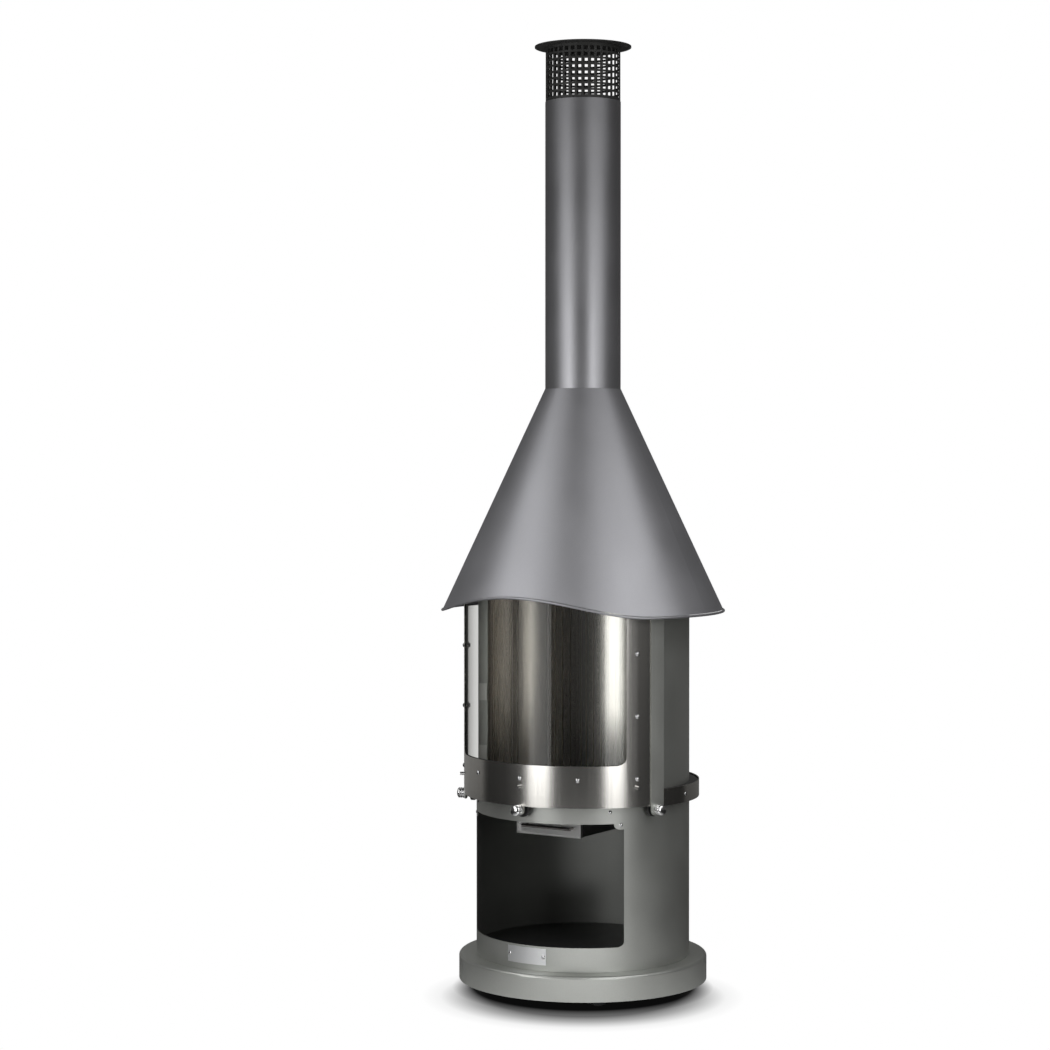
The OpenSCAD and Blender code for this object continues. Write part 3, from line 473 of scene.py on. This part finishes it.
def rolled_steel(name, dark, light, roughness, streak_share, anisotropy):
    """Stainless sheet rolled into a cylinder: brushed round the turn, faint upright streaks."""
    material, nodes_in, link, output = new_material(name)
    place = nodes_in.new("ShaderNodeTexCoord").outputs["Object"]
    apart = nodes_in.new("ShaderNodeSeparateXYZ")
    link(place, apart.inputs["Vector"])
    forwards = math_node(nodes_in, link, "MULTIPLY", apart.outputs["Y"], -1.0)
    turn = math_node(nodes_in, link, "ARCTAN2", apart.outputs["X"], forwards)
    along = nodes_in.new("ShaderNodeCombineXYZ")
    link(math_node(nodes_in, link, "MULTIPLY", turn, line_ends_per_radian), along.inputs["X"])
    link(math_node(nodes_in, link, "MULTIPLY", apart.outputs["Z"], lines_per_m), along.inputs["Z"])
    grain = noise_node(nodes_in, link, along.outputs["Vector"], 1.0, 3)
    upright = nodes_in.new("ShaderNodeCombineXYZ")
    link(math_node(nodes_in, link, "MULTIPLY", turn, streaks_per_radian), upright.inputs["X"])
    streaks = noise_node(nodes_in, link, upright.outputs["Vector"], 1.0, 2)
    brushed = math_node(
        nodes_in, link, "ADD",
        spread(nodes_in, link, grain, 0.0, 1.0 - streak_share),
        spread(nodes_in, link, streaks, 0.0, streak_share),
    )
    shader = nodes_in.new("ShaderNodeBsdfPrincipled")
    link(mixed_colour(nodes_in, link, brushed, dark, light), shader.inputs["Base Color"])
    link(spread(nodes_in, link, streaks, roughness - 0.01, roughness + 0.01), shader.inputs["Roughness"])
    round_way = nodes_in.new("ShaderNodeTangent")
    round_way.direction_type = "RADIAL"
    round_way.axis = "Z"
    link(round_way.outputs["Tangent"], shader.inputs["Tangent"])
    shader.inputs["Metallic"].default_value = 1.0
    shader.inputs["Anisotropic"].default_value = anisotropy
    shader.inputs["Anisotropic Rotation"].default_value = 0.25
    link(shader.outputs["BSDF"], output.inputs["Surface"])
    return material


fire_iron = rubber("fire_iron", 0.045, 0.65)
liner_steel = rolled_steel("liner_steel", (0.69, 0.66, 0.63), (0.73, 0.705, 0.675), 0.27, 0.95, 0.45)
hook_steel = painted_sheet("hook_steel", (0.72, 0.72, 0.7), 0.4, 0.45)
finish_nodes(body_paint, "fire_shell")
finish_nodes(inner_paint, "fire_pan", "drawer_runners")
finish_nodes(fire_iron, "fire_grate")
finish_nodes(liner_steel, "fire_liner")
finish_nodes(hook_steel, "grill_hooks")

# Rail: a channel of dark steel rolled round the body. The wind shield hangs on it and turns
# with its rollers above and below.
rail_steel = rolled_steel("rail_steel", (0.10, 0.10, 0.10), (0.2, 0.2, 0.2), 0.4, 0.5, 0.5)
finish_nodes(rail_steel, "roller_rail")

# Hood and flue: a rolled cone with an arched front edge and a straight pipe, both a cooler grey
# than the body; the pipe's grey is darker, as painted shade. The spark arrestor and the flat cap are
# black.
hood_paint = painted_sheet("hood_paint", (0.47, 0.47, 0.495), 0.8, 0.47)
# The pipe's paint is the hood's grey made darker: painted shade.
flue_paint_painted_shade = painted_sheet("flue_paint_painted_shade", (0.43, 0.43, 0.45), 0.88, 0.41)
cap_paint = painted_sheet("cap_paint", (0.07, 0.07, 0.068), 0.3, 0.5)
finish_nodes(hood_paint, "hood")
finish_nodes(flue_paint_painted_shade, "flue_pipe")
finish_nodes(cap_paint, "spark_arrestor", "cap_disc")
finish_nodes(inner_paint, "hood_brackets", "flue_spigot")


# Bead: the hood's lower edge is rolled outwards into a thin round bead, which rises in an
# arch over the front with the sheet. A raised point moves inwards with the cone, which changes
# its place in the arch, so its lift is worked out in a few rounds.
def new_piece(name, mesh, material, body, slot_name, *replaced):
    """Makes a mesh an object that rides on a body and stands for CAD nodes."""
    data = bpy.data.meshes.new(name)
    mesh.to_mesh(data)
    mesh.free()
    data.shade_smooth()
    data.set_sharp_from_angle(angle=radians(32))
    data.materials.append(material)
    piece = bpy.data.objects.new(name, data)
    bpy.context.scene.collection.objects.link(piece)
    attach(piece, body)
    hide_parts(*replaced)


bead_r = 0.003
bead_sides = 12
bead_steps = 240
hood_low, hood_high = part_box("hood")
rim_low, rim_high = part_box("hood_rim")
flue_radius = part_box("flue_pipe")[1].x
hood_edge_r = rim_high.x - bead_r
hood_slope = (hood_edge_r - flue_radius) / (hood_high.z - rim_low.z)
arch_half = radians(60)
arch_rise = rim_high.z - rim_low.z - 2 * bead_r
arch_rounds = 4
bead_mesh = bmesh.new()
bmesh.ops.create_circle(
    bead_mesh, radius=bead_r, segments=bead_sides, matrix=Matrix.Rotation(pi / 2, 4, "X"),
)
bmesh.ops.translate(bead_mesh, verts=bead_mesh.verts[:], vec=(hood_edge_r, 0, 0))
bmesh.ops.spin(
    bead_mesh, geom=bead_mesh.verts[:] + bead_mesh.edges[:], cent=(0, 0, 0), axis=(0, 0, 1),
    angle=2 * pi, steps=bead_steps, use_merge=True,
)
for point in bead_mesh.verts:
    flat = Vector((point.co.x, point.co.y, 0))
    sideways = flat.x / flat.length
    lift = 0
    for closer in range(arch_rounds):
        arch_place = (hood_edge_r - hood_slope * lift) * sideways / hood_edge_r
        if flat.y < 0 and abs(arch_place) < sin(arch_half):
            lift = arch_rise * (1 + cos(pi * asin(arch_place) / arch_half)) / 2
    inwards = flat.normalized() * -hood_slope * lift
    point.co += inwards + Vector((0, 0, rim_low.z + bead_r + lift))
bmesh.ops.remove_doubles(bead_mesh, verts=bead_mesh.verts[:], dist=bead_r / 100)
bmesh.ops.recalc_face_normals(bead_mesh, faces=bead_mesh.faces[:])
new_piece("hood_bead", bead_mesh, hood_paint, "root", "hood_paint", "hood_rim")

# Wind shield: one brushed stainless sheet with a window, curved glass behind it on a
# dark rope, painted posts at its ends and a stainless ring that closes it round the back.
tint_power = 2.5
gloss_power = 4.0
gloss_edge_share = 0.3
gloss_face_share = 0.015
glass, glass_nodes, glass_link, glass_output = new_material("shield_glass")
glass_place = glass_nodes.new("ShaderNodeTexCoord").outputs["Object"]
glass_smear = noise_node(glass_nodes, glass_link, glass_place, 9, 4)
glass_slant = glass_nodes.new("ShaderNodeLayerWeight")
glass_slant.inputs["Blend"].default_value = 0.5
slant_tint = math_node(
    glass_nodes, glass_link, "POWER", glass_slant.outputs["Facing"], tint_power,
)
slant_gloss = math_node(
    glass_nodes, glass_link, "POWER", glass_slant.outputs["Facing"], gloss_power,
)
glass_clear = glass_nodes.new("ShaderNodeBsdfTransparent")
glass_link(
    mixed_colour(glass_nodes, glass_link, slant_tint, (0.95, 0.955, 0.945), (0.45, 0.44, 0.43)),
    glass_clear.inputs["Color"],
)
glass_gloss = glass_nodes.new("ShaderNodeBsdfGlossy")
glass_link(
    spread(glass_nodes, glass_link, glass_smear, 0.02, 0.07), glass_gloss.inputs["Roughness"],
)
glass_share = math_node(
    glass_nodes, glass_link, "MULTIPLY_ADD", slant_gloss, gloss_edge_share, gloss_face_share,
)
glass_mix = glass_nodes.new("ShaderNodeMixShader")
glass_link(glass_share, glass_mix.inputs["Fac"])
glass_link(glass_clear.outputs["BSDF"], glass_mix.inputs[1])
glass_link(glass_gloss.outputs["BSDF"], glass_mix.inputs[2])
glass_link(glass_mix.outputs["Shader"], glass_output.inputs["Surface"])
band_steel = rolled_steel("band_steel", (0.58, 0.565, 0.535), (0.72, 0.705, 0.67), 0.24, 0.5, 0.35)
gasket_rope = rubber("gasket_rope", 0.02, 0.8)
# The posts carry the body's grey, made paler: painted light.
post_paint_painted_light = painted_sheet("post_paint_painted_light", (0.56, 0.57, 0.54), 0.8, 0.42)
post_edge_r = 0.0012
post_bevel = nodes["shield_posts"].modifiers.new("eased_edges", "BEVEL")
post_bevel.width = post_edge_r
post_bevel.segments = 3
post_bevel.limit_method = "ANGLE"
finish_nodes(post_paint_painted_light, "shield_posts")
finish_nodes(band_steel, "shield_frame", "back_ring")
finish_nodes(glass, "shield_glass")
finish_nodes(gasket_rope, "glass_gasket")
finish_nodes(inner_paint, "ring_packers")
finish_nodes(bolt_steel, "shield_bolts", "glass_clips")


# Rollers and knobs: black rollers above and below the rail turn on bright steel pins. The
# lower pins end in polished knobs, turned with two ring grooves and a domed nose.
def turned_piece(mesh, outline, turn, height, steps):
    """Adds a solid of revolution round a level line that leaves the axis at a turn."""
    standing = set(mesh.verts)
    points = [mesh.verts.new((radius, 0, along)) for along, radius in outline]
    line = [mesh.edges.new(pair) for pair in zip(points, points[1:])]
    bmesh.ops.spin(
        mesh, geom=points + line, cent=(0, 0, 0), axis=(0, 0, 1), angle=2 * pi,
        steps=steps, use_merge=True,
    )
    bmesh.ops.transform(
        mesh, verts=[point for point in mesh.verts if point not in standing],
        matrix=Matrix.Translation((0, 0, height)) @ Matrix.Rotation(turn, 4, "Z")
        @ Matrix.Rotation(pi / 2, 4, "X"),
    )


pin_r = 0.004
pin_head_r = 0.006
pin_collar_r = 0.0046
pin_start = 0.2582
pin_head_end = 0.2612
roller_outside = 0.2728
side_knob_turn = radians(68)
front_collar_end = 0.2811
front_knob_start = 0.2837
side_collar_end = 0.2834
side_knob_start = 0.287
knob_low, knob_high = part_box("shield_knobs")
knob_r = 0.0125
knob_height = (knob_low.z + knob_high.z) / 2
knob_end = 0.3065
knob_groove = 0.0014
knob_nose = 0.006
knob_steps = 48
groove_shares = (0.36, 0.6)
groove_steps = 8
nose_steps = 12
knobs_mesh = bmesh.new()
for knob_turn, collar_end, knob_start in (
    (0, front_collar_end, front_knob_start),
    (side_knob_turn, side_collar_end, side_knob_start),
    (-side_knob_turn, side_collar_end, side_knob_start),
):
    outline = [
        (pin_start, 0), (pin_start, pin_head_r), (pin_head_end, pin_head_r),
        (pin_head_end, pin_r), (roller_outside, pin_r), (roller_outside, pin_collar_r),
        (collar_end, pin_collar_r), (collar_end, pin_r), (knob_start, pin_r),
        (knob_start, knob_r - knob_groove / 2), (knob_start + knob_groove / 2, knob_r),
    ]
    knob_long = knob_end - knob_start
    for groove_share in groove_shares:
        middle = knob_start + groove_share * knob_long
        for step in range(groove_steps + 1):
            bend = pi * step / groove_steps
            outline.append(
                (middle - knob_groove * cos(bend), knob_r - knob_groove * sin(bend)),
            )
    for step in range(nose_steps):
        bend = pi / 2 * step / nose_steps
        outline.append((knob_end - knob_nose * (1 - sin(bend)), knob_r * cos(bend)))
    outline.append((knob_end, 0))
    turned_piece(knobs_mesh, outline, knob_turn, knob_height, knob_steps)
bmesh.ops.remove_doubles(knobs_mesh, verts=knobs_mesh.verts[:], dist=pin_r / 1000)
bmesh.ops.recalc_face_normals(knobs_mesh, faces=knobs_mesh.faces[:])
roller_black = rubber("roller_black", 0.02, 0.45)
knob_steel = plated_steel("knob_steel", (0.85, 0.85, 0.85), 0.16)
for kind in ("top", "keeper"):
    finish_nodes(roller_black, *[f"{kind}_roller_{number}" for number in (1, 2, 3)])
finish_nodes(knob_steel, "roller_pins")
new_piece("turned_knobs", knobs_mesh, knob_steel, "shield", "bright_steel", "shield_knobs")

# Ash drawer: a folded tray behind a stainless front plate with a frame, brushed lengthwise,
# and a polished bar handle on two posts. Two bright bolts hold the front.
tray_steel = plated_steel("tray_steel", (0.3, 0.3, 0.3), 0.35)
front_steel = brushed_plate("front_steel", (0.68, 0.68, 0.67), (0.76, 0.76, 0.75), 0.32)
# The handle's steel is darker than polished steel: a painted reflection of the dark round it.
handle_steel_painted_shade = plated_steel("handle_steel_painted_shade", (0.36, 0.34, 0.33), 0.12)
finish_nodes(tray_steel, "ash_tray")
finish_nodes(front_steel, "drawer_front_plate")
finish_nodes(handle_steel_painted_shade, "drawer_handle")
finish_nodes(knob_steel, "drawer_bolts")
